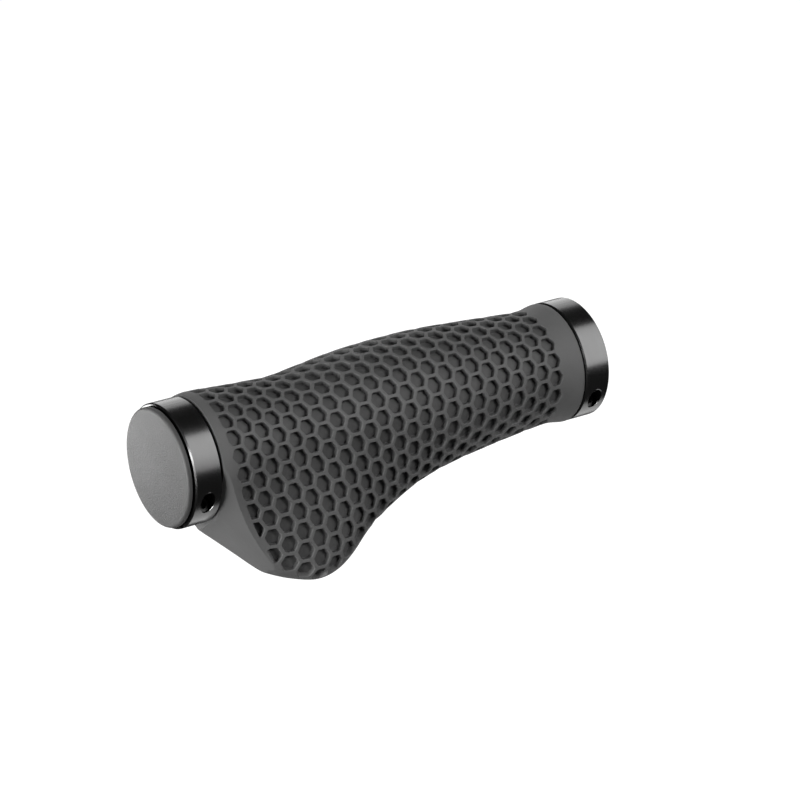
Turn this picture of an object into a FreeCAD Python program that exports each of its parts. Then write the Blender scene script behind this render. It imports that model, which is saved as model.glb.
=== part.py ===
import FreeCAD
import Part
import math
import os

# A lock-on handlebar grip with a palm wing, for the left end of a 22.2 mm bar.
#
# Frame, in millimetres: the origin is on the bar's axis, where the sleeve's bore begins at its
# outboard end. +X runs along the bar towards the middle of the bicycle, -Y towards the rider
# and +Z is up. The wing's direction is an angle from -Y downwards, and so are all the angles
# round the bar here.

# ---- driving dimensions: bar, sleeve and rings ----
BAR_DIAMETER = 22.2
BAR_TUBE_WALL = 2.3
SLEEVE_CLEARANCE = 0.15         # radial, between the bar and the sleeve's bore
RING_CLEARANCE = 0.05           # radial, between the bar and a ring that is just closed
SLEEVE_LENGTH = 117.8
SLEEVE_WALL = 1.65
FLANGE_THICKNESS = 1.5
FLANGE_STEP = 1.7               # the flange's radius beyond the sleeve's
RUBBER_SETBACK = 0.3            # the flange stands this far proud of the rubber's end

RING_WALL = 5.85
RING_WIDTH = 8.0
RING_FACE_GAP = 0.1             # between a ring's face and the sleeve's flange
RING_EDGE_CHAMFER = 0.35
RING_BORE_CHAMFER = 0.5
SLIT_WIDTH = 1.3
OUTER_SLIT_ANGLE = 57.0
INNER_SLIT_ANGLE = 61.5

# ---- driving dimensions: clamp screw, M2.5 x 10 with a small socket head ----
SCREW_COVER = 0.55              # metal between the bar and the screw's hole
SCREW_SEAT = 4.6                # from the slit's middle to the face that the head bears on
SCREW_RADIUS = 1.25
SCREW_LENGTH = 10.0             # under the head
SCREW_TIP_CHAMFER = 0.25
HEAD_RADIUS = 1.95
HEAD_HEIGHT = 2.5
HEAD_CHAMFER = 0.2
HEX_ACROSS_FLATS = 2.0
HEX_DEPTH = 1.3
HEAD_HOLE_CLEARANCE = 0.15
THREAD_CLEARANCE = 0.05
SHANK_HOLE_CLEARANCE = 0.15
HOLE_EDGE_BREAK = 0.15

# ---- driving dimensions: drive tabs between sleeve and rings ----
TAB_ANGLES = (90.0, 180.0, 270.0)   # from the slit
TAB_SPAN = 30.0                     # degrees
TAB_LENGTH = 2.4
TAB_INSET = 0.75                # the tabs' inner radius beyond the sleeve's bore
TAB_STEP = 1.1                  # the tabs' outer radius beyond the sleeve's
TAB_CLEARANCE = 0.25

# ---- driving dimensions: end plug ----
PLUG_INSET = 0.75               # the disc's edge below the ring's
PLUG_DISC_THICKNESS = 1.5
PLUG_DOME_HEIGHT = 0.35
PLUG_EDGE_ROUND = 0.8
PLUG_BACK_ROUND = 0.3
PLUG_UNDERCUT = 1.7             # the shoulder's edge below the disc's
PLUG_SHOULDER_HEIGHT = 0.4
PLUG_RING_GAP = 0.05
PLUG_FIN_HEIGHT = 0.9
PLUG_FIN_COUNT = 3
PLUG_FIN_WIDTH = 0.8
PLUG_END_GAP = 0.4              # the barrel ends this far short of the ring's inner face
PLUG_BARREL_WALL = 1.6
PLUG_ROOT_ROUND = 1.2

# ---- driving dimensions: the rubber's outside ----
WING_ANGLE = 59.0
# place as a share of the sleeve's length, rubber round the sleeve, the wing's reach beyond the
# sleeve, radius of the wing's edge as a share of the radius round the bar
STATIONS = [
    (0.0, 4.1, 13.1, 0.20),
    (0.034, 4.7, 16.1, 0.195),
    (0.102, 4.1, 21.3, 0.21),
    (0.170, 3.6, 25.1, 0.255),
    (0.238, 3.2, 26.9, 0.30),
    (0.306, 3.9, 24.5, 0.32),
    (0.374, 4.8, 18.7, 0.375),
    (0.441, 5.5, 14.3, 0.47),
    (0.543, 5.9, 9.5, 0.64),
    (0.645, 5.8, 6.8, 0.80),
    (0.781, 4.7, 4.85, 0.95),
    (0.883, 3.7, 3.75, 0.975),
    (0.942, 3.3, 3.35, 0.985),
    (1.0, 4.1, 4.15, 0.985),
]
# The wing's outboard end is cut by two planes that meet in a ridge. Each is given by its
# normal along the bar, out along the wing and up from the wing's middle. Both hold the ridge's
# lower end: its place along the bar, beyond the ring's radius, and up from the wing's middle.
RIDGE_START = 0.3
RIDGE_OUT = 0.25
RIDGE_UP = 4.4
END_FACET_NORMAL = (-0.81, 0.585, 0.04)
TOP_FACET_NORMAL = (-0.626, 0.555, 0.547)
END_BAND_RUBBER = 0.9           # the facets leave this much rubber round the flange
END_BAND_LENGTH = 5.0

# ---- driving dimensions: the sleeve's paddle inside the wing ----
PADDLE_THICKNESS = 2.4
PADDLE_START = 0.136            # shares of the sleeve's length
PADDLE_END = 0.390
PADDLE_COVER = 6.5              # rubber between the paddle's rim and the wing's edge
PADDLE_STEPS = 6

# how finely the rubber's sections are drawn
SECTION_STEP = 4.5              # between the sections that the rubber is lofted through
HALF_POINTS = 22                # on each side of the wing's middle
EDGE_DENSITY = 0.2              # 1 spaces the points evenly, less crowds them at the edge

FAR = 200.0                     # larger than anything here, for cutting

# ---- values worked out from the above ----
BAR_RADIUS = BAR_DIAMETER / 2
SLEEVE_BORE = BAR_RADIUS + SLEEVE_CLEARANCE
SLEEVE_RADIUS = SLEEVE_BORE + SLEEVE_WALL
FLANGE_RADIUS = SLEEVE_RADIUS + FLANGE_STEP
RING_BORE = BAR_RADIUS + RING_CLEARANCE
RING_RADIUS = RING_BORE + RING_WALL
OUTER_RING_FACE = -RING_FACE_GAP
INNER_RING_FACE = SLEEVE_LENGTH + RING_FACE_GAP
SCREW_OFFSET = RING_BORE + SCREW_COVER + SCREW_RADIUS + SHANK_HOLE_CLEARANCE
TAB_INNER_RADIUS = SLEEVE_BORE + TAB_INSET
TAB_OUTER_RADIUS = SLEEVE_RADIUS + TAB_STEP


def vector(x, y, z):
    return FreeCAD.Vector(x, y, z)


ALONG = vector(1, 0, 0)
CENTRE = vector(0, 0, 0)


def around(angle):
    """Unit vector at an angle from -Y downwards."""
    turn = math.radians(angle)
    return vector(0, -math.cos(turn), -math.sin(turn))


WING_OUT = around(WING_ANGLE)
WING_UP = around(WING_ANGLE - 90)


def rod(radius, start, end):
    """A cylinder on the bar's axis."""
    return Part.makeCylinder(radius, end - start, vector(start, 0, 0), ALONG)


def turned(outline):
    """A solid turned about the bar's axis from (x, radius) points."""
    points = [vector(x, 0, radius) for x, radius in outline]
    face = Part.Face(Part.makePolygon(points + points[:1]))
    return face.revolve(CENTRE, ALONG, 360)


def sector(inner, outer, start, end, middle, span):
    """A piece of a tube that spans some degrees about an angle."""
    profile = [vector(x, 0, 0) + around(middle - span / 2) * radius
               for x, radius in ((start, inner), (end, inner), (end, outer), (start, outer))]
    face = Part.Face(Part.makePolygon(profile + profile[:1]))
    turn_axis = around(middle - span / 2).cross(around(middle - span / 2 + 1))
    return face.revolve(CENTRE, turn_axis, span)


def at_station(x, column):
    """A station's value anywhere along the bar, by a smooth curve through the stations."""
    places = [station[0] * SLEEVE_LENGTH for station in STATIONS]
    values = [station[column] for station in STATIONS]
    last = len(places) - 1
    step = 0
    while step < last - 1 and x > places[step + 1]:
        step += 1

    def slope(index):
        low = max(index - 1, 0)
        high = min(index + 1, last)
        return (values[high] - values[low]) / (places[high] - places[low])

    width = places[step + 1] - places[step]
    t = (x - places[step]) / width
    rise = values[step + 1] - values[step]
    start_slope = slope(step) * width
    end_slope = slope(step + 1) * width
    cubic = start_slope + end_slope - 2 * rise
    square = 3 * rise - 2 * start_slope - end_slope
    return values[step] + t * (start_slope + t * (square + t * cubic))


def reach(x):
    """How far the wing reaches from the bar's axis."""
    return SLEEVE_RADIUS + max(at_station(x, 2), at_station(x, 1))


def section_radius(x, lean):
    """The rubber's radius at an angle from the wing's middle: a circle round the bar, a small
    one at the wing's edge, and the straight flanks that touch both."""
    barrel = SLEEVE_RADIUS + at_station(x, 1)
    edge = barrel * at_station(x, 3)
    offset = reach(x) - edge
    touch = math.acos((barrel - edge) / offset)
    edge_touch = math.atan2(edge * math.sin(touch), offset + edge * math.cos(touch))
    if lean >= touch:
        return barrel
    if lean >= edge_touch:
        return barrel / math.cos(touch - lean)
    return offset * math.cos(lean) + math.sqrt(edge ** 2 - (offset * math.sin(lean)) ** 2)


def section_points(x):
    """The rubber's outline at one place along the bar, with its points closer together
    towards the wing's edge."""
    points = []
    for step in range(-HALF_POINTS, HALF_POINTS):
        share = abs(step) / HALF_POINTS
        lean = 180 * (EDGE_DENSITY * share + (1 - EDGE_DENSITY) * share ** 2)
        angle = WING_ANGLE + math.copysign(lean, step)
        points.append(vector(x, 0, 0) + around(angle) * section_radius(x, math.radians(lean)))
    return points


def section_wire(x):
    """A closed smooth curve through the outline. Every section has the same parameters, so
    the surface through them stays simple."""
    points = section_points(x)
    curve = Part.BSplineCurve()
    curve.interpolate(Points=points, PeriodicFlag=True,
                      Parameters=[float(step) for step in range(len(points) + 1)])
    return Part.Wire([curve.toShape()])


def facet_tool(normal):
    """Everything beyond one of the planes that cut the wing's outboard end."""
    along, out, up = normal
    outward = ALONG * along + WING_OUT * out + WING_UP * up
    base = ALONG * RIDGE_START + WING_OUT * (RING_RADIUS + RIDGE_OUT) + WING_UP * RIDGE_UP
    side = outward.cross(WING_UP).normalize()
    other = outward.cross(side).normalize()
    corners = [base + side * a + other * b
               for a, b in ((-FAR, -FAR), (FAR, -FAR), (FAR, FAR), (-FAR, FAR))]
    face = Part.Face(Part.makePolygon(corners + corners[:1]))
    return face.extrude(outward.normalize() * FAR)


def rubber_outside():
    """The grip's outer form, solid right through, from ring to ring."""
    count = math.ceil(SLEEVE_LENGTH / SECTION_STEP)
    places = [SLEEVE_LENGTH * step / count for step in range(count + 1)]
    form = Part.makeLoft([section_wire(x) for x in places], True, False)
    form = form.cut(facet_tool(END_FACET_NORMAL)).cut(facet_tool(TOP_FACET_NORMAL))
    form = form.fuse(rod(FLANGE_RADIUS + END_BAND_RUBBER, 0, END_BAND_LENGTH))
    return form.common(rod(FAR, RUBBER_SETBACK, SLEEVE_LENGTH - RUBBER_SETBACK))


def paddle():
    """The flat plate that stiffens the wing, from inside the sleeve's wall outwards."""
    start = PADDLE_START * SLEEVE_LENGTH
    end = PADDLE_END * SLEEVE_LENGTH
    rim = []
    for step in range(PADDLE_STEPS + 1):
        x = start + (end - start) * step / PADDLE_STEPS
        rim.append((x, reach(x) - PADDLE_COVER))
    root = SLEEVE_BORE + SLEEVE_WALL / 2
    outline = [(start, root)] + rim + [(end, root)]
    low = WING_UP * (-PADDLE_THICKNESS / 2)
    points = [ALONG * x + WING_OUT * out + low for x, out in outline]
    face = Part.Face(Part.makePolygon(points + points[:1]))
    return face.extrude(WING_UP * PADDLE_THICKNESS)


def flanges():
    return [rod(FLANGE_RADIUS, 0, FLANGE_THICKNESS),
            rod(FLANGE_RADIUS, SLEEVE_LENGTH - FLANGE_THICKNESS, SLEEVE_LENGTH)]


def drive_tabs(face, away, slit_angle, clearance=0.0):
    """The tabs that key a ring to the sleeve. With a clearance, the pockets for them."""
    start, end = sorted((face - away * RING_FACE_GAP, face + away * (TAB_LENGTH + clearance)))
    inner = TAB_INNER_RADIUS if not clearance else RING_BORE - clearance
    outer = TAB_OUTER_RADIUS + clearance
    span = TAB_SPAN + 2 * math.degrees(clearance / TAB_INNER_RADIUS)
    return [sector(inner, outer, start, end, slit_angle + angle, span) for angle in TAB_ANGLES]


def grip_core():
    solid = rod(SLEEVE_RADIUS, 0, SLEEVE_LENGTH)
    solid = solid.multiFuse(flanges() + [paddle()])
    solid = solid.cut(rod(SLEEVE_BORE, -FAR, FAR))
    tabs = drive_tabs(OUTER_RING_FACE, -1, OUTER_SLIT_ANGLE)
    tabs += drive_tabs(INNER_RING_FACE, 1, INNER_SLIT_ANGLE)
    return solid.multiFuse(tabs)


def grip_skin():
    solid = rubber_outside().cut(rod(SLEEVE_RADIUS, -FAR, FAR))
    return solid.cut(flanges()[0]).cut(flanges()[1]).cut(paddle())


def screw_place(face, away, slit_angle):
    """The point on the screw's axis in the middle of the slit, and the way out of its head."""
    middle = ALONG * (face + away * RING_WIDTH / 2)
    return middle + around(slit_angle) * SCREW_OFFSET, around(slit_angle - 90)


def clamp_ring(face, away, slit_angle):
    """A ring split at one side, with a counterbored hole and a tapped hole across the slit."""
    start, end = sorted((face, face + away * RING_WIDTH))
    ring = turned([
        (start + RING_BORE_CHAMFER, RING_BORE), (start, RING_BORE + RING_BORE_CHAMFER),
        (start, RING_RADIUS - RING_EDGE_CHAMFER), (start + RING_EDGE_CHAMFER, RING_RADIUS),
        (end - RING_EDGE_CHAMFER, RING_RADIUS), (end, RING_RADIUS - RING_EDGE_CHAMFER),
        (end, RING_BORE + RING_BORE_CHAMFER), (end - RING_BORE_CHAMFER, RING_BORE),
    ])
    across, out_of_head = screw_place(face, away, slit_angle)
    counterbore = Part.makeCylinder(HEAD_RADIUS + HEAD_HOLE_CLEARANCE, FAR,
                                    across + out_of_head * SCREW_SEAT, out_of_head)
    ring = ring.cut(counterbore)
    mouth = [edge for edge in ring.Edges if is_mouth(edge, across, out_of_head)]
    ring = ring.makeChamfer(HOLE_EDGE_BREAK, mouth)
    shank_hole = Part.makeCylinder(SCREW_RADIUS + SHANK_HOLE_CLEARANCE, 2 * SCREW_SEAT,
                                   across, out_of_head)
    tapped_hole = Part.makeCylinder(SCREW_RADIUS + THREAD_CLEARANCE, FAR, across,
                                    out_of_head * -1)
    slit = Part.makeBox(2 * RING_WIDTH, SLIT_WIDTH, FAR,
                        vector(start - RING_WIDTH / 2, -SLIT_WIDTH / 2, 0))
    slit.rotate(CENTRE, ALONG, 90 + slit_angle)
    ring = ring.cut(shank_hole).cut(tapped_hole).cut(slit)
    for pocket in drive_tabs(face, away, slit_angle, TAB_CLEARANCE):
        ring = ring.cut(pocket)
    return ring


def is_mouth(edge, across, out_of_head):
    """Whether an edge is where the counterbore comes out of the ring's round side."""
    points = edge.discretize(9)
    hole = HEAD_RADIUS + HEAD_HOLE_CLEARANCE
    for point in points:
        offset = point - across
        lateral = offset - out_of_head * offset.dot(out_of_head)
        radius = math.hypot(point.y, point.z)
        if abs(lateral.Length - hole) > 0.01 or abs(radius - RING_RADIUS) > 0.01:
            return False
    return True


def clamp_screw(face, away, slit_angle):
    """A socket head screw across the slit."""
    across, out_of_head = screw_place(face, away, slit_angle)
    seat = across + out_of_head * SCREW_SEAT
    top = seat + out_of_head * HEAD_HEIGHT
    tip = seat - out_of_head * SCREW_LENGTH
    head = Part.makeCylinder(HEAD_RADIUS, HEAD_HEIGHT - HEAD_CHAMFER, seat, out_of_head)
    crown = Part.makeCone(HEAD_RADIUS, HEAD_RADIUS - HEAD_CHAMFER, HEAD_CHAMFER,
                          top - out_of_head * HEAD_CHAMFER, out_of_head)
    shank = Part.makeCylinder(SCREW_RADIUS, SCREW_LENGTH - SCREW_TIP_CHAMFER,
                              tip + out_of_head * SCREW_TIP_CHAMFER, out_of_head)
    point = Part.makeCone(SCREW_RADIUS - SCREW_TIP_CHAMFER, SCREW_RADIUS, SCREW_TIP_CHAMFER,
                          tip, out_of_head)
    screw = head.multiFuse([crown, shank, point])
    corner = HEX_ACROSS_FLATS / math.sqrt(3)
    floor = top - out_of_head * HEX_DEPTH
    side = around(slit_angle)
    corners = []
    for step in range(6):
        turn = math.radians(60 * step)
        corners.append(floor + ALONG * (corner * math.cos(turn)) + side * (corner * math.sin(turn)))
    socket = Part.Face(Part.makePolygon(corners + corners[:1])).extrude(out_of_head * HEAD_HEIGHT)
    return screw.cut(socket)


def arc(start, middle, end):
    """A curved side of a profile, through three (x, radius) points."""
    return Part.Arc(*[vector(x, 0, radius) for x, radius in (start, middle, end)]).toShape()


def lines(points):
    """Straight sides of a profile, through (x, radius) points."""
    corners = [vector(x, 0, radius) for x, radius in points]
    return Part.makePolygon(corners).Edges


def end_plug():
    """A domed disc, a shoulder that bears on the ring, and a hollow barrel with soft fins."""
    diagonal = math.sqrt(0.5)
    ring_face = OUTER_RING_FACE - RING_WIDTH
    shoulder = ring_face - PLUG_RING_GAP
    back = shoulder - PLUG_SHOULDER_HEIGHT
    front = back - PLUG_DISC_THICKNESS
    crown = front - PLUG_DOME_HEIGHT
    rim = RING_RADIUS - PLUG_INSET
    flat = rim - PLUG_EDGE_ROUND
    dome = (flat ** 2 + PLUG_DOME_HEIGHT ** 2) / (2 * PLUG_DOME_HEIGHT)
    half = flat / 2
    edge_centre = front + PLUG_EDGE_ROUND
    sides = [arc((crown, 0), (crown + dome - math.sqrt(dome ** 2 - half ** 2), half),
                 (front, flat))]
    sides.append(arc((front, flat),
                     (edge_centre - PLUG_EDGE_ROUND * diagonal, flat + PLUG_EDGE_ROUND * diagonal),
                     (edge_centre, rim)))
    back_start = back - PLUG_BACK_ROUND
    back_flat = rim - PLUG_BACK_ROUND
    sides += lines([(edge_centre, rim), (back_start, rim)])
    sides.append(arc((back_start, rim),
                     (back_start + PLUG_BACK_ROUND * diagonal,
                      back_flat + PLUG_BACK_ROUND * diagonal),
                     (back, back_flat)))
    fins = BAR_RADIUS - BAR_TUBE_WALL
    barrel = fins - PLUG_FIN_HEIGHT
    neck = rim - PLUG_UNDERCUT
    root_start = shoulder + PLUG_ROOT_ROUND
    outline = [(back, back_flat), (back, neck), (shoulder, neck),
               (shoulder, barrel + PLUG_ROOT_ROUND)]
    sides += lines(outline)
    turn_in = PLUG_ROOT_ROUND * (1 - diagonal)
    sides.append(arc(outline[-1], (shoulder + turn_in, barrel + turn_in), (root_start, barrel)))
    end = OUTER_RING_FACE - PLUG_END_GAP
    pitch = (end - root_start) / PLUG_FIN_COUNT
    outline = [(root_start, barrel)]
    for step in range(PLUG_FIN_COUNT):
        fin = root_start + pitch * (step + 0.4)
        outline += [(fin, barrel), (fin, fins), (fin + PLUG_FIN_WIDTH / 3, fins),
                    (fin + PLUG_FIN_WIDTH, barrel)]
    outline += [(end, barrel), (end, barrel - PLUG_BARREL_WALL),
                (back, barrel - PLUG_BARREL_WALL), (back, 0), (crown, 0)]
    sides += lines(outline)
    return Part.Face(Part.Wire(sides)).revolve(CENTRE, ALONG, 360)


NODES = {
    "grip_core": grip_core(),
    "grip_skin": grip_skin(),
    "outer_clamp_ring": clamp_ring(OUTER_RING_FACE, -1, OUTER_SLIT_ANGLE),
    "inner_clamp_ring": clamp_ring(INNER_RING_FACE, 1, INNER_SLIT_ANGLE),
    "outer_clamp_screw": clamp_screw(OUTER_RING_FACE, -1, OUTER_SLIT_ANGLE),
    "inner_clamp_screw": clamp_screw(INNER_RING_FACE, 1, INNER_SLIT_ANGLE),
    "end_plug": end_plug(),
}

os.makedirs("parts", exist_ok=True)
for name, shape in NODES.items():
    box = shape.BoundBox
    print(f"{name}: {len(shape.Solids)} solid, valid {shape.isValid()}, {shape.Volume:.0f} mm3,",
          f"x {box.XMin:.2f} to {box.XMax:.2f}, y {box.YMin:.2f} to {box.YMax:.2f},",
          f"z {box.ZMin:.2f} to {box.ZMax:.2f}")
    shape.exportStep(f"parts/{name}.step")
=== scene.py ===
# %% [markdown]
# # A handlebar grip with a palm wing
# A lock-on grip is a nylon sleeve with rubber moulded over it, held on the bar by two split
# aluminium rings, each closed by one small screw, with a plastic plug in the bar's open end.
# The machined and moulded hard pieces come from the CAD frame as they are and only need their
# finishes. The rubber is what the hand and the eye meet first, so it is made again here, over
# the CAD form, with its honeycomb of pits really sunk into it.

# %% Load the frame
import math

import bmesh
import bpy
import numpy as np
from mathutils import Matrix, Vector
from mathutils.bvhtree import BVHTree


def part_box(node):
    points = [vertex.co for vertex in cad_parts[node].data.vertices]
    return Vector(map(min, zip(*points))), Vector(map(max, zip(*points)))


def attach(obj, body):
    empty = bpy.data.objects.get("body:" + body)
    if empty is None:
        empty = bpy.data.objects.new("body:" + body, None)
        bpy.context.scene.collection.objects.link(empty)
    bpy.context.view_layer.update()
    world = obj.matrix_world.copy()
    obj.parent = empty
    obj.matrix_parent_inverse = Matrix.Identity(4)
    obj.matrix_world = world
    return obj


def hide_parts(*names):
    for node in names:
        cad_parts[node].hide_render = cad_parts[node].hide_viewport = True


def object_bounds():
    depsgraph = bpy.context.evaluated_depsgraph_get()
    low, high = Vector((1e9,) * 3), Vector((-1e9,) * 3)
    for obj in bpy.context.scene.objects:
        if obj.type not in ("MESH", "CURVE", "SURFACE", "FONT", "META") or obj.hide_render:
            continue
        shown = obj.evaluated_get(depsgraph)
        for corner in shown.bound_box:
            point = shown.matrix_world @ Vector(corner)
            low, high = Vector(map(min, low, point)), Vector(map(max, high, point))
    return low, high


MM = 0.001
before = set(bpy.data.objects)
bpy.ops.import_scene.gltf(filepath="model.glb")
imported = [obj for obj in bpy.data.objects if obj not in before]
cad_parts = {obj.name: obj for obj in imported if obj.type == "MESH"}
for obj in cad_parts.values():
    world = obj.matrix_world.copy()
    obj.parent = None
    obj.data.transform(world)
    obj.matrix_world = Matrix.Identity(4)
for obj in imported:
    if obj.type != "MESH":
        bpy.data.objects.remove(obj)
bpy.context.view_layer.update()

# %% [markdown]
# ## One way to write nodes
# Both the honeycomb and the finishes are node trees. Drawing them by hand is easy to see but
# hard to read in a script, so two small classes keep them short: a tree that adds any node
# from its type, its settings and its sockets, and a wire that turns arithmetic into Math nodes.

# %% Trees and wires
class Tree:
    """A node tree, with one way to add a node to it."""

    def __init__(self, nodes, links):
        self.nodes = nodes
        self.links = links

    def add(self, kind, settings=None, sockets=None, output=0):
        """A node of one kind: its settings first, then its sockets' values or wires."""
        node = self.nodes.new(kind)
        for name, value in (settings or {}).items():
            if name == "stops":
                for stop, (place, colour) in zip(node.color_ramp.elements, value):
                    stop.position = place
                    stop.color = colour
            else:
                setattr(node, name, value)
        for key, value in (sockets or {}).items():
            if isinstance(value, Wire):
                self.links.new(value.socket, node.inputs[key])
            else:
                node.inputs[key].default_value = value
        return Wire(self, node, output)


class Wire:
    """One output of a node. Arithmetic on it adds the Math nodes that do it."""

    def __init__(self, tree, node, output=0):
        self.tree = tree
        self.node = node
        self.socket = node.outputs[output] if len(node.outputs) else None

    def math(self, operation, *values):
        return self.tree.add("ShaderNodeMath", {"operation": operation}, dict(enumerate(values)))

    def __add__(self, other):
        return self.math("ADD", self, other)

    def __sub__(self, other):
        return self.math("SUBTRACT", self, other)

    def __rsub__(self, other):
        return self.math("SUBTRACT", other, self)

    def __mul__(self, other):
        return self.math("MULTIPLY", self, other)

    __radd__ = __add__
    __rmul__ = __mul__


# %% [markdown]
# ## Reading the rubber's form from the frame
# The CAD rubber is smooth: a barrel with a wing, its outboard end cut by two flat facets. A ray
# sent in towards the bar's axis finds that surface at any place along and round the bar, so
# the fine grid below lies on the CAD form wherever it is, and follows if the form changes.
# Angles are measured from the rider's side downwards: 0 faces the rider, 90 degrees is below
# the bar and -90 degrees is on top of it.

# %% A ray on the CAD rubber
skin_low, skin_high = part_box("grip_skin")
SKIN_START = skin_low.x
SKIN_END = skin_high.x
skin_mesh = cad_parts["grip_skin"].data
skin_corners = [vertex.co.copy() for vertex in skin_mesh.vertices]
skin_surface = BVHTree.FromPolygons(skin_corners, [face.vertices[:] for face in skin_mesh.polygons])
RAY_START = 80 * MM


def around(angle):
    """Unit vector at an angle, in radians, from the rider's side downwards."""
    return Vector((0, -math.cos(angle), -math.sin(angle)))


def touch(x, angle):
    """The CAD rubber's outer radius and its normal at one place."""
    outward = around(angle)
    place = Vector((x, 0, 0)) + outward * RAY_START
    found, normal = skin_surface.ray_cast(place, -outward)[:2]
    return math.hypot(found.y, found.z), normal


tip = max(skin_corners, key=lambda corner: math.hypot(corner.y, corner.z))
WING_ANGLE = math.atan2(-tip.z, -tip.y)
sleeve_radius = min(math.hypot(corner.y, corner.z) for corner in skin_corners)
flange_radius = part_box("grip_core")[1].y
print(f"wing at {math.degrees(WING_ANGLE):.1f} degrees, tip {tip.x / MM:.1f} mm along,",
      f"rubber on radius {sleeve_radius / MM:.2f} mm")

# %% [markdown]
# ## Where the honeycomb stops
# At the outboard end the pits stop in a line beside the two facets, so the facets have to be
# found. They are the CAD rubber's two largest flat areas that look outboard, and their edge at
# each angle is the last place along the bar where a ray still meets one of them. Inboard of
# that edge runs a smooth band, which narrows at the wing's tip, and the pits begin behind it.
# The mesh has its columns closer together over the wing, where the shape turns fastest.

# %% Find the facets and their edge
COLUMNS = 240
SEAM_ANGLE = math.radians(165)
OUTBOARD_LEAN = (-0.95, -0.5)
SAME_NORMAL = 0.01
FACET_SEARCH = 16 * MM
FACET_STEP = 0.1 * MM
FIRST_EDGE = 1.0 * MM
EDGE_BAND = 2.0 * MM
TIP_BAND = 0.8 * MM
TIP_BAND_SPREAD = math.radians(14)
END_BAND = 2.4 * MM
EDGE_SOFTENING = 2
BORDER_SOFTENING = 3
# Columns: relative spacing over the wing and behind it, and the angles where it changes.
FINE_STEP = 0.7
COARSE_STEP = 2.6
FINE_TO = math.radians(30)
COARSE_FROM = math.radians(110)
EVEN_SAMPLES = 3601

flat_areas = {}
flat_places = {}
for face in skin_mesh.polygons:
    if OUTBOARD_LEAN[0] < face.normal.x < OUTBOARD_LEAN[1]:
        key = tuple(round(part, 3) for part in face.normal)
        flat_areas[key] = flat_areas.get(key, 0) + face.area
        flat_places[key] = face.center.copy()
facet_keys = sorted(flat_areas, key=flat_areas.get)[-2:]
facets = [Vector(key) for key in facet_keys]
facet_depths = [flat_places[key].dot(Vector(key)) for key in facet_keys]


def smoothstep(low, high, values):
    """Rises from 0 at the low value to 1 at the high one, with no corner at either."""
    share = np.clip((values - low) / (high - low), 0, 1)
    return share * share * (3 - 2 * share)


def lean_from_wing(angle):
    """How far an angle is from the wing's middle, either way round."""
    lean = np.abs(angle - WING_ANGLE)
    return np.minimum(lean, 2 * math.pi - lean)


def column_angles():
    """The carcass's columns, closer together over the wing than round the back."""
    even = SEAM_ANGLE - np.linspace(0, 2 * math.pi, EVEN_SAMPLES)
    behind = smoothstep(FINE_TO, COARSE_FROM, lean_from_wing(even))
    crowd = np.cumsum(1 / (FINE_STEP + (COARSE_STEP - FINE_STEP) * behind))
    crowd = (crowd - crowd[0]) / (crowd[-1] - crowd[0])
    return np.interp(np.linspace(0, 1, COLUMNS + 1), crowd, even)


angles = column_angles()


def facet_edge(angle):
    """How far along the bar a facet reaches at one angle."""
    edge = SKIN_START
    for place in np.arange(SKIN_START + FACET_STEP, FACET_SEARCH, FACET_STEP):
        normal = touch(place, angle)[1]
        if any((normal - facet).length < SAME_NORMAL for facet in facets):
            edge = place
    return edge


def softened(values, times, wraps=False):
    """Rounds off corners along the first axis by averaging each value with its neighbours."""
    for _ in range(times):
        ends = "wrap" if wraps else "edge"
        padded = np.pad(values, [(1, 1)] + [(0, 0)] * (values.ndim - 1), ends)
        values = (padded[:-2] + 2 * padded[1:-1] + padded[2:]) / 4
    return values


facet_edges = np.array([facet_edge(angle) for angle in angles[:-1]])
edge_line = softened(
    np.maximum(facet_edges, SKIN_START + FIRST_EDGE), EDGE_SOFTENING, wraps=True)
bands = EDGE_BAND - (EDGE_BAND - TIP_BAND) * np.exp(
    -(lean_from_wing(angles[:-1]) / TIP_BAND_SPREAD) ** 2)
borders = softened(
    np.maximum(edge_line + bands, SKIN_START + END_BAND), BORDER_SOFTENING, wraps=True)
edge_line = np.append(edge_line, edge_line[0])
borders = np.append(borders, borders[0])
print("facet normals:", [tuple(round(part, 2) for part in facet) for facet in facets],
      f"longest facet {facet_edges.max() / MM:.1f} mm")

# %% [markdown]
# ## The carcass
# The smooth body under the pattern is a closed tube of rings. Some are spread from the end to
# the facets' edge, a few across the smooth band, and the rest from there to the other end, so
# that one line of the mesh runs along the facets' edge and another along the band's. The last
# rings turn inwards over a small round, and the inside steps down from the sleeve's flanges to
# the sleeve. A shallow crease is pressed in along the ridge where the two facets meet.

# %% Build the carcass
FACET_RINGS = 30
BAND_RINGS = 3
INBOARD_RINGS = 122
END_ROUND = 0.6 * MM
ROUND_SHARE = 0.3
RAY_INSET = MM / 50
FLANGE_THICKNESS = 1.2 * MM
SOFT_RIDGE = 1
CREASE_DEPTH = 0.42 * MM
CREASE_WIDTH = 0.5 * MM


def ring_places():
    """Each outer ring's place along the bar at every angle."""
    rows = []
    for step in range(FACET_RINGS):
        rows.append(SKIN_START + (edge_line - SKIN_START) * step / FACET_RINGS)
    for step in range(BAND_RINGS):
        rows.append(edge_line + (borders - edge_line) * step / BAND_RINGS)
    for step in range(INBOARD_RINGS + 1):
        rows.append(borders + (SKIN_END - borders) * step / INBOARD_RINGS)
    first = np.full(COLUMNS + 1, SKIN_START)
    last = np.full(COLUMNS + 1, SKIN_END)
    rows[1:1] = [first + ROUND_SHARE * END_ROUND]
    rows[-1:-1] = [last - END_ROUND]
    rows[-1:-1] = [last - ROUND_SHARE * END_ROUND]
    rows = np.array(rows)
    rows[2] = np.minimum(rows[2], rows[3] * 0.5 + rows[1] * 0.5)
    return np.maximum.accumulate(rows, axis=0)


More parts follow.
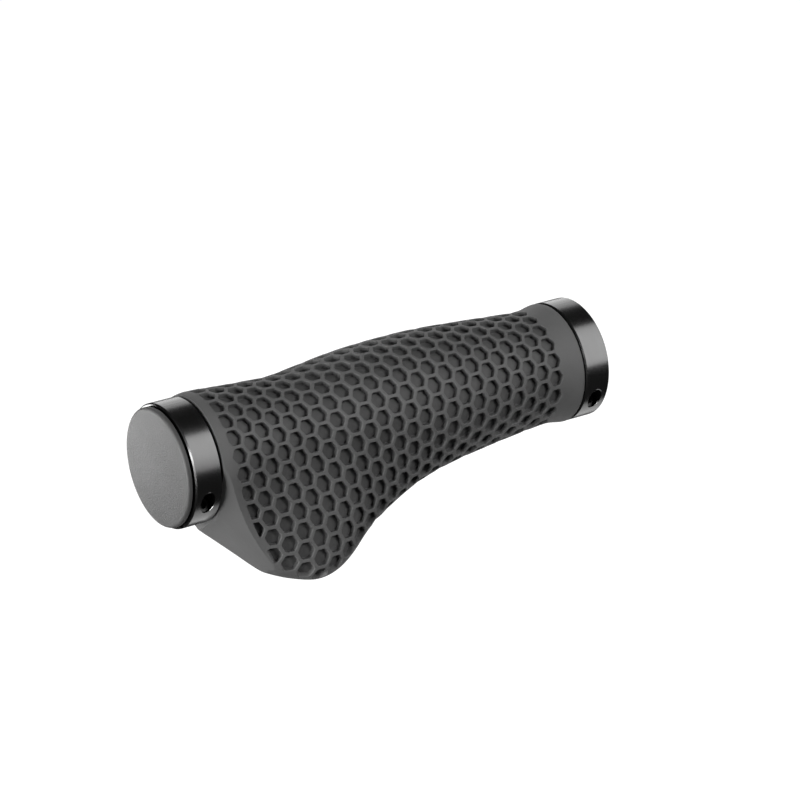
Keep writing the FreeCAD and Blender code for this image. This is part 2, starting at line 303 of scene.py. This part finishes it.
places = ring_places()
inside_ends = np.clip(places, SKIN_START + RAY_INSET, SKIN_END - RAY_INSET)
radii = np.array([[touch(x, angle)[0] for x, angle in zip(row[:-1], angles)]
                  for row in inside_ends])
radii = softened(radii.T, SOFT_RIDGE, wraps=True).T
radii = np.column_stack([radii, radii[:, 0]])
for row, drop in ((0, 1.0), (1, ROUND_SHARE), (-2, ROUND_SHARE), (-1, 1.0)):
    radii[row] -= drop * END_ROUND

directions = np.array([around(angle) for angle in angles])
outer = radii[:, :, None] * directions[None]
outer[:, :, 0] = places
inside = [depth - outer @ np.array(facet) for facet, depth in zip(facets, facet_depths)]
crease = np.exp(-((inside[0] - inside[1]) / CREASE_WIDTH) ** 2)
crease *= np.minimum(*inside) < CREASE_WIDTH
outer -= (CREASE_DEPTH * crease)[:, :, None] * directions[None]
across = np.gradient(outer, axis=0)
round_bar = np.roll(outer[:, :-1], -1, axis=1) - np.roll(outer[:, :-1], 1, axis=1)
round_bar = np.concatenate([round_bar, round_bar[:, :1]], axis=1)
outwards = np.cross(across, round_bar)
outwards /= np.linalg.norm(outwards, axis=2, keepdims=True)
print(f"{outer.shape[0]} rings of {COLUMNS}, radius {radii.min() / MM:.1f} to",
      f"{radii.max() / MM:.1f} mm")

# %% [markdown]
# ## The pattern's flat sheet
# Think of the honeycomb as printed on a flat sheet that is wrapped round the grip. The sheet's
# first direction runs along the bar and its second round it. On the barrel the rows keep their
# angle, and over the wing they are laid off by length, so the cells stay about the same size.
# Over the wing the columns also bow inboard, less and less towards the inboard end, and a long
# shallow wave runs through them. The sheet is stored as the carcass's UV map.

# %% Lay the sheet on the carcass
PITCH = 5.19 * MM
COLUMN_STEP = PITCH * math.sqrt(3) / 2
ROW_ANGLE = math.radians(17.14)
WING_ROW = 5.78 * MM
WING_FROM = math.radians(-10)
SHEET_SIZE = 180 * MM
SHEET_CORNER = (30 * MM, 90 * MM)
BOW = 4.15 * MM
BOW_SPREAD = math.radians(45)
BOW_DIP = 1.9 * MM
BOW_DIP_SPREAD = math.radians(9)
BOW_TURN = 1.35
BOW_TURNS = (38 * MM, 98 * MM)
WAVE = 0.72 * MM
WAVE_START = 25 * MM
WAVE_HALF = 43 * MM
WAVE_HALVES = 1.5
WAVE_END = WAVE_START + WAVE_HALVES * WAVE_HALF
WAVE_FADES = (math.radians(60), math.radians(120))
ROW_CENTRE = math.radians(-5)
ROW_RADIUS = 16.4 * MM


def bow(x, angle):
    """How far the pattern's columns lean inboard over the wing."""
    lean = lean_from_wing(angle)
    over_wing = BOW * np.exp(-(lean / BOW_SPREAD) ** 2)
    over_wing -= BOW_DIP * np.exp(-(lean / BOW_DIP_SPREAD) ** 2)
    over_wing = over_wing * (1 - BOW_TURN * smoothstep(*BOW_TURNS, x))
    phase = (np.clip(x, WAVE_START, WAVE_END) - WAVE_START) / WAVE_HALF
    broad = 1 - smoothstep(*WAVE_FADES, lean)
    return over_wing + WAVE * broad * np.cos(math.pi * phase)


steps = np.linalg.norm(np.diff(outer, axis=1), axis=2)
lengths = np.concatenate([np.zeros((len(outer), 1)), np.cumsum(steps, axis=1)], axis=1)
at_wing = np.array([np.interp(-WING_FROM, -angles, row) for row in lengths])[:, None]
top_column = np.abs(angles + math.pi / 2).argmin()
crowding = np.sqrt(radii[:, top_column:top_column + 1] / ROW_RADIUS)
by_angle = (ROW_CENTRE + (angles - ROW_CENTRE) * crowding) / ROW_ANGLE
wing_start = (ROW_CENTRE + (WING_FROM - ROW_CENTRE) * crowding) / ROW_ANGLE
by_length = wing_start + (at_wing - lengths) / WING_ROW
sheet_rows = np.where(angles > WING_FROM, by_length, by_angle)
sheet_x = places - bow(places, angles[None])
sheet = np.stack([sheet_x, -sheet_rows * PITCH], axis=2)
sheet_uv = (sheet + SHEET_CORNER) / SHEET_SIZE
print("the sheet is", np.round(np.ptp(sheet.reshape(-1, 2), axis=0) / MM, 1), "mm")

# %% Make the carcass's mesh
OFF_SHEET = -1.0
inner_profile = [
    (SKIN_END, flange_radius), (SKIN_END - FLANGE_THICKNESS, flange_radius),
    (SKIN_END - FLANGE_THICKNESS, sleeve_radius), (SKIN_START + FLANGE_THICKNESS, sleeve_radius),
    (SKIN_START + FLANGE_THICKNESS, flange_radius), (SKIN_START, flange_radius),
]


def tube_mesh(name, rings):
    """A closed tube from rings of points. Each ring's last face joins back to its start."""
    count = len(rings[0])
    faces = []
    for row in range(len(rings)):
        low = row * count
        high = (row + 1) % len(rings) * count
        for column in range(count):
            beside = (column + 1) % count
            faces.append((low + column, high + column, high + beside, low + beside))
    mesh = bpy.data.meshes.new(name)
    mesh.from_pydata([tuple(point) for ring in rings for point in ring], [], faces)
    piece = bpy.data.objects.new(name, mesh)
    bpy.context.scene.collection.objects.link(piece)
    return piece


def plain_ring(x, radius):
    """A round ring at one place along the bar, or at one place for each angle."""
    ring = radius * directions[:-1]
    ring[:, 0] = x
    return ring


rings = [ring[:-1] for ring in outer] + [plain_ring(x, radius) for x, radius in inner_profile]
rubber = tube_mesh("rubber_skin", rings)
rubber_mesh = rubber.data
outward_values = np.zeros((len(rubber_mesh.vertices), 3))
outward_values[:outwards.shape[0] * COLUMNS] = outwards[:, :-1].reshape(-1, 3)
outward = rubber_mesh.attributes.new("outward", "FLOAT_VECTOR", "POINT")
outward.data.foreach_set("vector", outward_values.ravel())
sheet_map = rubber_mesh.uv_layers.new(name="sheet")
corner_uv = np.full((len(rubber_mesh.loops), 2), OFF_SHEET)
corner = 0
for row in range(len(outer) - 1):
    for column in range(COLUMNS):
        corner_uv[corner:corner + 4] = (
            sheet_uv[row, column], sheet_uv[row + 1, column],
            sheet_uv[row + 1, column + 1], sheet_uv[row, column + 1])
        corner += 4
sheet_map.data.foreach_set("uv", corner_uv.ravel())
print("carcass faces:", len(rubber_mesh.polygons))

# %% [markdown]
# ## Which cells there are
# A honeycomb's columns stand half a cell higher by turns. Only whole cells are kept at the
# sheet's seam and at the smooth inboard flange. Beside the facets a cell may be cut, and is
# dropped only if less than a sliver of it would show. The wing's lip, where the rubber turns
# under in a tight curve, is left smooth, because a flat-bottomed pit would break through it.

# %% Place the cells
FIRST_COLUMN = 4.95 * MM
COLUMN_COUNT = 24
ROW_PHASE = math.radians(-53.7)
ROW_REACH = 16
SLIVER = 1.7 * MM
SEAM_MARGIN = 0.62 * PITCH
ON_SHEET = PITCH / 5
LIP_STRIP = 0.42 * WING_ROW
LIP_RADIUS = 21 * MM

outer_points = sheet.reshape(-1, 2)
outer_borders = np.broadcast_to(borders, places.shape).ravel()
outer_places = places.ravel()
at_lip = np.array([np.interp(-WING_ANGLE, -angles, row) for row in lengths])[:, None]
lip_column = np.abs(angles - WING_ANGLE).argmin()
on_lip = (np.abs(lengths - at_lip) < LIP_STRIP) & (radii[:, lip_column:lip_column + 1] > LIP_RADIUS)
on_lip = on_lip.ravel()


def nearest(point):
    """The carcass point that lies closest to a point of the sheet, and how far off it is."""
    distances = np.hypot(*(outer_points - point).T)
    index = distances.argmin()
    return index, distances[index]


def is_kept(point):
    """Whether the cell on this point of the sheet is sunk into the rubber."""
    index = nearest(point)[0]
    if outer_places[index] < outer_borders[index] - SLIVER or on_lip[index]:
        return False
    return all(nearest(point + (0, side * SEAM_MARGIN))[1] < ON_SHEET for side in (-1, 1))


cells = []
for column in range(COLUMN_COUNT):
    for row in range(-ROW_REACH, ROW_REACH + 1):
        height = row + ROW_PHASE / ROW_ANGLE + column % 2 / 2
        point = np.array([FIRST_COLUMN + column * COLUMN_STEP, -height * PITCH])
        if is_kept(point):
            cells.append(point)
print("cells:", len(cells))


def points_object(name, points):
    """An object that is only points, for a tree to put its copies on."""
    mesh = bpy.data.meshes.new(name)
    mesh.from_pydata([(x, y, 0) for x, y in points], [], [])
    made = bpy.data.objects.new(name, mesh)
    bpy.context.scene.collection.objects.link(made)
    return made


cell_points = points_object("cell_centres", cells)

# %% [markdown]
# ## One pit
# A moulded pit has a softly rounded rim, walls with a little draft and a flat floor with a
# round foot. The tool that leaves it is a stack of six-sided rings, each corner eased by a
# short chamfer. Its top and floor meet in a point at their middle, so that they can follow the
# rubber's curve. The faces that will be the pit's wall and floor carry an attribute, "sunk",
# which the rubber's finish reads to paint shade into the pits. Hundreds of copies are sunk, so the
# tool has few faces.

# %% Build the pit's tool
PIT_HALF = 2.1 * MM
CORNER_EASE = 0.28 * MM
PIT_RINGS = [  # height above the surface, width beyond the wall's
    (1.2, 0.16), (0.03, 0.16), (-0.06, 0.05), (-0.2, 0.0), (-1.35, -0.03), (-1.45, -0.12)]
RIM_RINGS = 3
RING_POINTS = 12


def eased_hexagon(half, height):
    """Twelve points round a hexagon with eased corners. Two of its corners point along X."""
    corner_radius = half / math.cos(math.pi / 6)
    corners = [Vector((math.cos(turn), math.sin(turn), 0)) * corner_radius
               for turn in np.arange(6) * math.pi / 3]
    points = []
    for index, corner_point in enumerate(corners):
        for beside in (corners[index - 1], corners[(index + 1) % 6]):
            points.append(corner_point + (beside - corner_point).normalized() * CORNER_EASE)
    return [(point.x, point.y, height) for point in points]


def pit_tool():
    """The solid that one pit takes away, centred on the sheet's surface."""
    points = []
    for height, beyond in PIT_RINGS:
        points += eased_hexagon(PIT_HALF + beyond * MM, height * MM)
    last = len(points) - RING_POINTS
    top = len(points)
    points += [(0, 0, PIT_RINGS[0][0] * MM), (0, 0, PIT_RINGS[-1][0] * MM)]
    faces = []
    in_the_pit = []
    for step in range(RING_POINTS):
        beside = (step + 1) % RING_POINTS
        faces.append((top, step, beside))
        faces.append((top + 1, last + beside, last + step))
        in_the_pit += [0.0, 1.0]
        for high in range(0, last, RING_POINTS):
            low = high + RING_POINTS
            faces.append((high + beside, high + step, low + step, low + beside))
            in_the_pit.append(float(high >= RIM_RINGS * RING_POINTS))
    mesh = bpy.data.meshes.new("pit_tool")
    mesh.from_pydata(points, [], faces)
    mesh.attributes.new("sunk", "FLOAT", "FACE").data.foreach_set("value", in_the_pit)
    made = bpy.data.objects.new("pit_tool", mesh)
    bpy.context.scene.collection.objects.link(made)
    return made


pit = pit_tool()
print("faces in one pit's tool:", len(pit.data.polygons))

# %% [markdown]
# ## A guard beside the facets
# A pit that crosses the border has to be cut off by a clean wall. A ring-shaped guard covers
# everything outboard of the border, and is taken away from the tools before they are used.

# %% Build the guard
GUARD_RADIUS = 60 * MM
GUARD_START = SKIN_START - 2 * MM
guard = tube_mesh("border_guard", [
    plain_ring(GUARD_START, GUARD_RADIUS), plain_ring(borders[:-1], GUARD_RADIUS),
    plain_ring(borders[:-1], sleeve_radius), plain_ring(GUARD_START, sleeve_radius)])

# %% [markdown]
# ## Sinking the honeycomb
# The tree puts a pit's tool on every cell of the flat sheet and makes the copies real. Each of
# their points then asks the carcass which place on it lies under that point of the sheet, and
# moves there, standing off along the surface's own direction by its height over the sheet. In
# this way every pit bends and stretches with the rubber. The guard and then the pits are taken
# away by exact solid arithmetic, so the result is one closed mesh.

# %% Finish of the rubber, needed by the tree
rubber_finish = bpy.data.materials.new("moulded_rubber")

# %% Build the honeycomb's tree
def group_input(group, name, kind, value=None):
    """Gives a node group one named input, and its first value if it has one."""
    socket = group.interface.new_socket(name, in_out="INPUT", socket_type=kind)
    if value is not None:
        socket.default_value = value
    return socket


def honeycomb_tree():
    """The group that wraps a pit's tool on every cell and takes them all from the carcass."""
    group = bpy.data.node_groups.new("sunk_honeycomb", "GeometryNodeTree")
    group_input(group, "Carcass", "NodeSocketGeometry")
    group_input(group, "Cell centres", "NodeSocketObject")
    group_input(group, "Pit tool", "NodeSocketObject")
    group_input(group, "Guard", "NodeSocketObject")
    group_input(group, "Pit width", "NodeSocketFloat", 1.0)
    group_input(group, "Pit depth", "NodeSocketFloat", 1.0)
    group_input(group, "Finish", "NodeSocketMaterial")
    group.interface.new_socket("Rubber", in_out="OUTPUT", socket_type="NodeSocketGeometry")
    tree = Tree(group.nodes, group.links)
    inputs = tree.add("NodeGroupInput")
    names = [item.name for item in group.interface.items_tree if item.in_out == "INPUT"]
    given = {name: Wire(tree, inputs.node, index) for index, name in enumerate(names)}

    def object_mesh(name):
        return tree.add("GeometryNodeObjectInfo", None, {"Object": given[name]}, "Geometry")

    scale = tree.add("ShaderNodeCombineXYZ", None, {
        "X": given["Pit width"], "Y": given["Pit width"], "Z": given["Pit depth"]})
    copies = tree.add("GeometryNodeInstanceOnPoints", None, {
        "Points": object_mesh("Cell centres"), "Instance": object_mesh("Pit tool"),
        "Scale": scale})
    flat_pits = tree.add("GeometryNodeRealizeInstances", None, {"Geometry": copies})
    place = tree.add("GeometryNodeInputPosition")
    height = tree.add("ShaderNodeSeparateXYZ", None, {"Vector": place}, "Z")
    corner_of_sheet = tree.add("ShaderNodeVectorMath", {"operation": "ADD"}, {
        0: place, 1: (*SHEET_CORNER, 0)})
    on_sheet = tree.add("ShaderNodeVectorMath", {"operation": "SCALE"}, {
        0: corner_of_sheet, "Scale": 1 / SHEET_SIZE})
    sheet_name = tree.add("GeometryNodeInputNamedAttribute", {"data_type": "FLOAT_VECTOR"}, {
        "Name": "sheet"})
    outward_name = tree.add("GeometryNodeInputNamedAttribute", {"data_type": "FLOAT_VECTOR"}, {
        "Name": "outward"})
    asked = {"Mesh": given["Carcass"], "UV Map": sheet_name, "Sample UV": on_sheet}
    under, stand_off = [
        tree.add("GeometryNodeSampleUVSurface", {"data_type": "FLOAT_VECTOR"},
                 {**asked, "Value": value})
        for value in (tree.add("GeometryNodeInputPosition"), outward_name)]
    lifted = tree.add("ShaderNodeVectorMath", {"operation": "MULTIPLY_ADD"}, {
        0: stand_off, 1: height, 2: under})
    wrapped = tree.add("GeometryNodeSetPosition", None, {
        "Geometry": flat_pits, "Position": lifted})
    cut = {"operation": "DIFFERENCE", "solver": "MANIFOLD"}
    guarded = tree.add("GeometryNodeMeshBoolean", cut, {
        "Mesh 1": wrapped, "Mesh 2": object_mesh("Guard")})
    sunk = tree.add("GeometryNodeMeshBoolean", cut, {
        "Mesh 1": given["Carcass"], "Mesh 2": guarded})
    real = tree.add("GeometryNodeRealizeInstances", None, {"Geometry": sunk})
    finished = tree.add("GeometryNodeSetMaterial", None, {
        "Geometry": real, "Material": given["Finish"]})
    tree.add("NodeGroupOutput", None, {"Rubber": finished})
    return group


def converted(piece, group, values):
    """Runs a tree on a piece and keeps what comes out as the piece's plain mesh."""
    modifier = piece.modifiers.new(group.name, "NODES")
    modifier.node_group = group
    for item in group.interface.items_tree:
        if item.name in values:
            modifier[item.identifier] = values[item.name]
    evaluated = piece.evaluated_get(bpy.context.evaluated_depsgraph_get())
    made = bpy.data.meshes.new_from_object(evaluated)
    piece.modifiers.remove(modifier)
    piece.data = made
    return piece


RUBBER_CORNER = math.radians(28)
converted(rubber, honeycomb_tree(), {
    "Cell centres": cell_points, "Pit tool": pit, "Guard": guard,
    "Pit width": 1.0, "Pit depth": 1.0, "Finish": rubber_finish})
for helper in (cell_points, pit, guard):
    bpy.data.objects.remove(helper)
rubber.data.shade_smooth()
rubber.data.set_sharp_from_angle(angle=RUBBER_CORNER)
print("sunk faces:", sum(item.value > 0.5 for item in rubber.data.attributes["sunk"].data))
print("rubber faces:", len(rubber.data.polygons), "triangles:",
      sum(len(face.vertices) - 2 for face in rubber.data.polygons))

# %% The rubber rides with the grip
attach(rubber, "grip")
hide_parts("grip_skin")

# %% [markdown]
# ## The plug's crown
# The plug's face is a very shallow dome. A few straight steps are enough to measure it, but a
# low light shows each of them, so the dome is laid again with finer rings on a merged copy of
# the CAD plug. A dome this shallow is a parabola to well under a thousandth of a millimetre.

# %% Lay the dome again
DOME_HEIGHT = 0.35 * MM
DOME_RINGS = 12
HAIR = 0.01 * MM
PLUG_CORNER = math.radians(35)

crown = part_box("end_plug")[0].x
work = bmesh.new()
work.from_mesh(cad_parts["end_plug"].data)
bmesh.ops.remove_doubles(work, verts=work.verts, dist=HAIR / 10)
steps_of_dome = [vertex for vertex in work.verts if vertex.co.x < crown + DOME_HEIGHT - HAIR]
bmesh.ops.delete(work, geom=steps_of_dome, context="VERTS")
dome_edge = {vertex for edge in work.edges if edge.is_boundary for vertex in edge.verts}
ring = sorted(dome_edge, key=lambda vertex: math.atan2(vertex.co.z, vertex.co.y))
edge_places = [vertex.co.copy() for vertex in ring]
for step in range(DOME_RINGS - 1, 0, -1):
    share = step / DOME_RINGS
    inner_ring = [work.verts.new((crown + DOME_HEIGHT * share ** 2, place.y * share,
                                  place.z * share)) for place in edge_places]
    for index, vertex in enumerate(ring):
        work.faces.new((vertex, inner_ring[index], inner_ring[index - 1], ring[index - 1]))
    ring = inner_ring
apex = work.verts.new((crown, 0, 0))
for index, vertex in enumerate(ring):
    work.faces.new((vertex, apex, ring[index - 1]))
bmesh.ops.recalc_face_normals(work, faces=work.faces)
open_edges = sum(edge.is_boundary for edge in work.edges)
work.verts.index_update()
plug_mesh = bpy.data.meshes.new("plug")
plug_mesh.from_pydata([vertex.co.copy() for vertex in work.verts], [],
                      [[vertex.index for vertex in face.verts] for face in work.faces])
work.free()
plug_mesh.shade_smooth()
plug_mesh.set_sharp_from_angle(angle=PLUG_CORNER)
plug = bpy.data.objects.new("plug", plug_mesh)
bpy.context.scene.collection.objects.link(plug)
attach(plug, "plug")
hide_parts("end_plug")
print("plug faces:", len(plug_mesh.polygons), "open edges:", open_edges)

# %% [markdown]
# ## Finishes
# Each material has the small-scale detail that its process leaves. All of it is worked out
# from Object coordinates, which are metres in the grip's frame, so the sizes of the grain are
# real ones. What changes over a surface feeds its colour, roughness and normal only. What is
# the same all over is set on the shader's own sockets.

# %% What every finish starts with
def finish_tree(material):
    """An empty node tree for a material, with its shader joined to its output."""
    material.use_nodes = True
    material.node_tree.nodes.clear()
    tree = Tree(material.node_tree.nodes, material.node_tree.links)
    shader = tree.add("ShaderNodeBsdfPrincipled")
    tree.add("ShaderNodeOutputMaterial", None, {"Surface": shader})
    place = tree.add("ShaderNodeTexCoord", None, None, "Object")
    return tree, shader, place


def link(tree, shader, name, wire):
    """Feeds one of the shader's inputs."""
    tree.links.new(wire.socket, shader.node.inputs[name])


def grain(tree, place, size, detail=2.0):
    """Noise from 0 to 1 whose lumps are about one size across, in metres."""
    return tree.add("ShaderNodeTexNoise", None, {
        "Vector": place, "Scale": 1 / size, "Detail": detail}, "Fac")


def blend(tree, share, first, second):
    """A colour between two. A Mix node's colours are its inputs 6 and 7 and its output 2."""
    return tree.add("ShaderNodeMix", {"data_type": "RGBA"}, {0: share, 6: first, 7: second}, 2)


def grey(value):
    return (value, value, value, 1)


def bump(tree, height, distance):
    """A normal from a height of 0 to 1 that stands for this many metres."""
    return tree.add("ShaderNodeBump", None, {
        "Height": height, "Distance": distance, "Strength": 1.0})


# %% [markdown]
# ### Rubber
# Moulded rubber is a very dark grey with a faint pale bloom in clouds and a fine dull grain.
# The pits' walls and floors, the faces marked "sunk", are taken part of the way to black: this is
# painted shade, for the light that the pits' walls keep from their floors.

# %% Moulded rubber
# How far the pits' walls and floors are painted towards black, as painted shade.
PIT_SHADE = 0.3
tree, shader, place = finish_tree(rubber_finish)
cloud = grain(tree, place, 14 * MM)
speck = grain(tree, place, 0.35 * MM, 3.0)
sunk = tree.add("ShaderNodeAttribute", {"attribute_name": "sunk"}, None, "Fac")
bloom = blend(tree, cloud * 0.6 + speck * 0.4, grey(0.045), grey(0.072))
# Painted shade: the sunk faces of the pits are blended towards black by PIT_SHADE.
link(tree, shader, "Base Color", blend(tree, PIT_SHADE * sunk, bloom, grey(0.0)))
link(tree, shader, "Roughness", 0.56 + 0.16 * speck)
link(tree, shader, "Normal", bump(tree, speck + 0.5 * grain(tree, place, 0.12 * MM), 0.02 * MM))
shader.node.inputs["Specular IOR Level"].default_value = 0.45

# %% [markdown]
# ### Rings
# Anodising is a thin clear layer, dyed black, over turned aluminium. The turning leaves fine
# rings round the bar, so their height depends on the place along the bar alone, and they must
# stay very shallow or the mirrored studio breaks up into speckles.

# %% Black anodised rings
anodised = bpy.data.materials.new("black_anodising")
tree, shader, place = finish_tree(anodised)
along = tree.add("ShaderNodeSeparateXYZ", None, {"Vector": place}, "X")
turned = tree.add("ShaderNodeTexNoise", {"noise_dimensions": "1D"}, {
    "W": along, "Scale": 1 / (0.4 * MM), "Detail": 1.0}, "Fac")
haze = grain(tree, place, 6 * MM)
link(tree, shader, "Base Color", blend(tree, haze, grey(0.075), grey(0.095)))
link(tree, shader, "Roughness", 0.17 + 0.05 * haze + 0.05 * turned)
link(tree, shader, "Normal", bump(tree, turned, 0.0008 * MM))
shader.node.inputs["Metallic"].default_value = 1.0

# %% [markdown]
# ### Plug
# The plug is cheap moulded plastic. Its mould was eaten by sparks, which leaves a coarse
# orange-peel grain over the whole face, so colour, roughness and height share one noise.

# %% Plug plastic
plug_plastic = bpy.data.materials.new("textured_plastic")
tree, shader, place = finish_tree(plug_plastic)
spark = grain(tree, place, 0.42 * MM, 3.0)
cloud = grain(tree, place, 9 * MM)
link(tree, shader, "Base Color", blend(tree, 0.7 * spark + 0.3 * cloud, grey(0.01), grey(0.053)))
link(tree, shader, "Roughness", 0.5 + 0.2 * spark)
link(tree, shader, "Normal", bump(tree, spark, 0.07 * MM))

# %% [markdown]
# ### Hidden hard pieces
# The screws are blackened steel, dull and a little rubbed, deep in their holes. The sleeve is
# filled nylon, which shows only as a dark line at the flanges and when a ring is pulled off.

# %% Screw steel
screw_steel = bpy.data.materials.new("blackened_steel")
tree, shader, place = finish_tree(screw_steel)
rub = grain(tree, place, 0.8 * MM)
link(tree, shader, "Base Color", blend(tree, rub, grey(0.03), grey(0.06)))
link(tree, shader, "Roughness", 0.42 + 0.15 * rub)
shader.node.inputs["Metallic"].default_value = 1.0

# %% Sleeve nylon
nylon = bpy.data.materials.new("black_nylon")
tree, shader, place = finish_tree(nylon)
fleck = grain(tree, place, 0.6 * MM)
link(tree, shader, "Base Color", blend(tree, fleck, grey(0.018), grey(0.03)))
link(tree, shader, "Roughness", 0.45 + 0.2 * fleck)
link(tree, shader, "Normal", bump(tree, fleck, 0.01 * MM))

# %% Dress the pieces
plug_mesh.materials.append(plug_plastic)
node_finishes = {
    "grip_core": nylon, "grip_skin": rubber_finish, "outer_clamp_ring": anodised,
    "inner_clamp_ring": anodised, "outer_clamp_screw": screw_steel,
    "inner_clamp_screw": screw_steel, "end_plug": plug_plastic,
}
for node, finish in node_finishes.items():
    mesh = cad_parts[node].data
    if not mesh.materials:
        mesh.materials.append(finish)
    for index in range(len(mesh.materials)):
        mesh.materials[index] = finish

# %% [markdown]
# ## The studio
# A pale floor lies well below the grip and shines a little by itself, so that it stays even.
# Gloss is drawn by what it mirrors: a tall soft box at the front right leaves the broad band on
# the rings, a card behind them lights their tops, and everything between stays dark. Dull
# rubber needs a smaller lamp, whose shadows show the pits. So that each can be set alone, the
# soft box gives no diffuse light, and the lamp and the box overhead can't be seen mirrored. The
# box at the left lights the facets, and a tiny lamp close to the plug shades its face.

# %% Floor and world
FLOOR_DROP = 0.30
FLOOR_SIZE = 8.0
low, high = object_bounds()
centre = (low + high) / 2
bpy.ops.mesh.primitive_plane_add(size=FLOOR_SIZE, location=(0, 0, low.z - FLOOR_DROP))
floor = bpy.context.object
floor.name = "studio_floor"
floor.visible_glossy = False
floor.visible_diffuse = False
floor_paint = bpy.data.materials.new("floor_paint")
tree, shader, place = finish_tree(floor_paint)
link(tree, shader, "Base Color", blend(tree, grain(tree, place, 0.5), grey(0.17), grey(0.2)))
shader.node.inputs["Roughness"].default_value = 0.9
shader.node.inputs["Specular IOR Level"].default_value = 0.0
shader.node.inputs["Emission Color"].default_value = grey(1.0)
shader.node.inputs["Emission Strength"].default_value = 0.97
floor.data.materials.append(floor_paint)

world = bpy.data.worlds.new("studio")
world.use_nodes = True
world.node_tree.nodes["Background"].inputs["Color"].default_value = grey(1.0)
world.node_tree.nodes["Background"].inputs["Strength"].default_value = 0.065
bpy.context.scene.world = world

# %% Lights
def direction(azimuth, elevation):
    """Unit vector towards a compass angle from +X, in degrees, and a height above level."""
    turn = math.radians(azimuth)
    lift = math.radians(elevation)
    return Vector((math.cos(turn) * math.cos(lift), math.sin(turn) * math.cos(lift),
                   math.sin(lift)))


def soft_box(name, azimuth, elevation, distance, width, height, power):
    """A rectangular light that faces the grip and stays out of the camera's sight."""
    data = bpy.data.lights.new(name, "AREA")
    data.shape = "RECTANGLE"
    data.size = width
    data.size_y = height
    data.energy = power
    light = bpy.data.objects.new(name, data)
    way = direction(azimuth, elevation)
    light.location = centre + way * distance
    light.rotation_mode = "QUATERNION"
    light.rotation_quaternion = way.to_track_quat("Z", "Y")
    light.visible_camera = False
    bpy.context.scene.collection.objects.link(light)
    return light


# Each light: compass angle and height in degrees, distance, width and height in metres, watts.
front_box = soft_box("front_box", -46, 29.5, 1.0, 0.8, 1.1, 10.5)
front_box.visible_diffuse = False
key_lamp = soft_box("key_lamp", -60, 34, 1.0, 0.26, 0.26, 8.4)
key_lamp.visible_glossy = False
top_box = soft_box("top_box", 60, 82, 1.2, 1.2, 1.2, 4.6)
top_box.visible_glossy = False
soft_box("back_card", 56, 17, 1.2, 1.0, 0.86, 4.5)
soft_box("left_box", -174, 1, 1.2, 0.8, 0.8, 41)
soft_box("cap_lamp", 136, -8, 0.16, 0.05, 0.05, 0.085)
soft_box("low_card", 15, -60, 0.33, 0.24, 0.24, 0.24)

# %% [markdown]
# ## The camera
# A long lens far off keeps the two rings nearly the same size. The camera looks down on the
# grip from beyond its plug, and aims a little beside its middle.

# %% Camera
VIEW_AZIMUTH = -34.1
VIEW_ELEVATION = 23.4
VIEW_DISTANCE = 881.8 * MM
AIM_RIGHT = 6.4 * MM
AIM_UP = 10.7 * MM
SENSOR_WIDTH = 36
FOCAL_LENGTH = 145.6
turn = math.radians(VIEW_AZIMUTH)
lift = math.radians(VIEW_ELEVATION)
back = Vector((math.sin(turn) * math.cos(lift), -math.cos(turn) * math.cos(lift), math.sin(lift)))
right = Vector((math.cos(turn), math.sin(turn), 0))
camera_data = bpy.data.cameras.new("camera")
camera_data.sensor_width = SENSOR_WIDTH
camera_data.lens = FOCAL_LENGTH
camera = bpy.data.objects.new("camera", camera_data)
camera.location = centre + right * AIM_RIGHT + back.cross(right) * AIM_UP + back * VIEW_DISTANCE
camera.rotation_mode = "QUATERNION"
camera.rotation_quaternion = (-back).to_track_quat("-Z", "Y")
bpy.context.scene.collection.objects.link(camera)
bpy.context.scene.camera = camera
bpy.context.scene.view_settings.view_transform = "Standard"
print("camera, mm:", [round(part / MM, 1) for part in camera.location])
